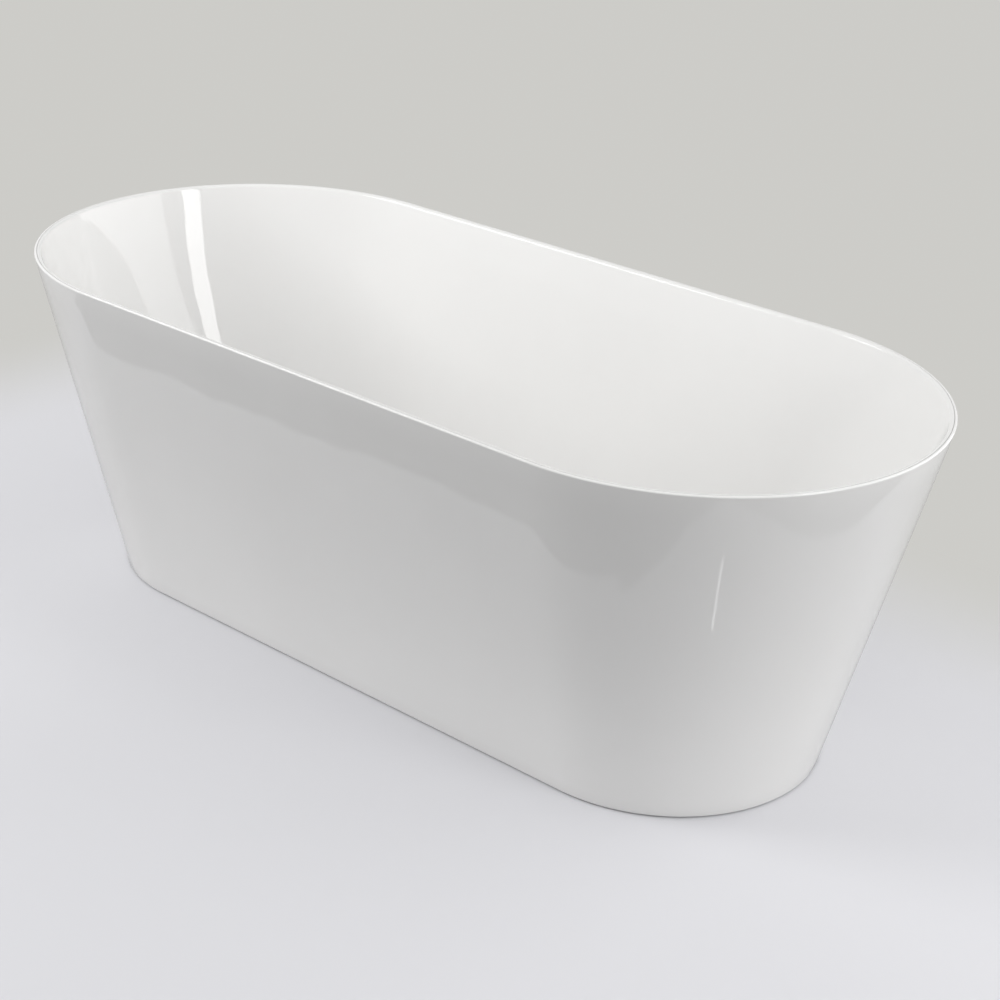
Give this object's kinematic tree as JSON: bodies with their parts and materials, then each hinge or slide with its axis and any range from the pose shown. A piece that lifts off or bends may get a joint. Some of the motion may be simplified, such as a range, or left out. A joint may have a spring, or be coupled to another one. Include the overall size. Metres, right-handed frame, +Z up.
{
  "type": "freestanding bathtub",
  "caption": "Freestanding double-ended bathtub: tapered stadium skirt, slim rim, deep basin with a push-to-open waste, on a steel cradle with screw levelling feet.",
  "frame": {"origin": "on the floor under the middle of the tub", "axes": "+X along the tub, +Y across it, +Z up"},
  "size_m": [1.698, 0.7632, 0.586],
  "materials": {
    "acrylic": "polished white acrylic",
    "seam_filler": "satin white filler",
    "adhesive": "matt cured adhesive",
    "plywood": "sanded birch plywood",
    "galvanised_steel": "spangled galvanised steel",
    "zinc_steel": "bright zinc plate",
    "black_plastic": "moulded matt black",
    "chrome": "polished chrome",
    "black_rubber": "matt black rubber",
    "white_pvc": "satin white plastic",
    "brass": "turned brass",
    "grey_plastic": "moulded grey plastic"
  },
  "bodies": {
    "tub": {"basin": "acrylic", "skirt": "acrylic", "rim_joint_filler": "seam_filler", "skirt_bond_pads": "adhesive", "base_board": "plywood", "frame_rail_front": "galvanised_steel", "frame_rail_back": "galvanised_steel", "frame_crossbar_1": "galvanised_steel", "frame_crossbar_2": "galvanised_steel", "frame_crossbar_3": "galvanised_steel", "frame_crossbar_4": "galvanised_steel", "frame_screws": "zinc_steel", "foot_weld_nuts": "zinc_steel", "foot_lock_nuts": "zinc_steel", "plug_spring": "zinc_steel", "rail_end_caps": "black_plastic", "waste_body": "chrome", "waste_flange_seal": "black_rubber", "waste_washer": "black_rubber", "tailpiece_washer": "black_rubber", "waste_locknut": "white_pvc", "tailpiece": "white_pvc", "tailpiece_nut": "white_pvc", "plug_cartridge": "grey_plastic"},
    "plug": {"plug_cap": "chrome", "plug_seal": "black_rubber", "plug_stem": "brass"},
    "foot_1": {"foot_pad_1": "black_plastic"},
    "stud_1": {"foot_stud_1": "zinc_steel"},
    "foot_2": {"foot_pad_2": "black_plastic"},
    "stud_2": {"foot_stud_2": "zinc_steel"},
    "foot_3": {"foot_pad_3": "black_plastic"},
    "stud_3": {"foot_stud_3": "zinc_steel"},
    "foot_4": {"foot_pad_4": "black_plastic"},
    "stud_4": {"foot_stud_4": "zinc_steel"}
  },
  "joints": [
    {"name": "plug_slide", "type": "slide", "parent": "tub", "child": "plug", "axis": [0, 0, 1], "range_m": [0, 0.01], "deforming": ["plug_spring"]},
    {"name": "foot_1_slide", "type": "slide", "parent": "tub", "child": "foot_1", "axis": [0, 0, -1], "range_m": [-0.008, 0.018]},
    {"name": "stud_1_turn", "type": "hinge", "parent": "foot_1", "child": "stud_1", "pos_m": [-0.47, -0.19, 0.011], "axis": [0, 0, -1], "range_deg": [-1650, 3710]},
    {"name": "foot_2_slide", "type": "slide", "parent": "tub", "child": "foot_2", "axis": [0, 0, -1], "range_m": [-0.008, 0.018]},
    {"name": "stud_2_turn", "type": "hinge", "parent": "foot_2", "child": "stud_2", "pos_m": [-0.47, 0.19, 0.011], "axis": [0, 0, -1], "range_deg": [-1650, 3710]},
    {"name": "foot_3_slide", "type": "slide", "parent": "tub", "child": "foot_3", "axis": [0, 0, -1], "range_m": [-0.008, 0.018]},
    {"name": "stud_3_turn", "type": "hinge", "parent": "foot_3", "child": "stud_3", "pos_m": [0.47, -0.19, 0.011], "axis": [0, 0, -1], "range_deg": [-1650, 3710]},
    {"name": "foot_4_slide", "type": "slide", "parent": "tub", "child": "foot_4", "axis": [0, 0, -1], "range_m": [-0.008, 0.018]},
    {"name": "stud_4_turn", "type": "hinge", "parent": "foot_4", "child": "stud_4", "pos_m": [0.47, 0.19, 0.011], "axis": [0, 0, -1], "range_deg": [-1650, 3710]}
  ],
  "couplings": [
    {"joint": "stud_1_turn", "follows": "foot_1_slide", "rad_per_m": 3590.4},
    {"joint": "stud_2_turn", "follows": "foot_2_slide", "rad_per_m": 3590.4},
    {"joint": "stud_3_turn", "follows": "foot_3_slide", "rad_per_m": 3590.4},
    {"joint": "stud_4_turn", "follows": "foot_4_slide", "rad_per_m": 3590.4}
  ]
}
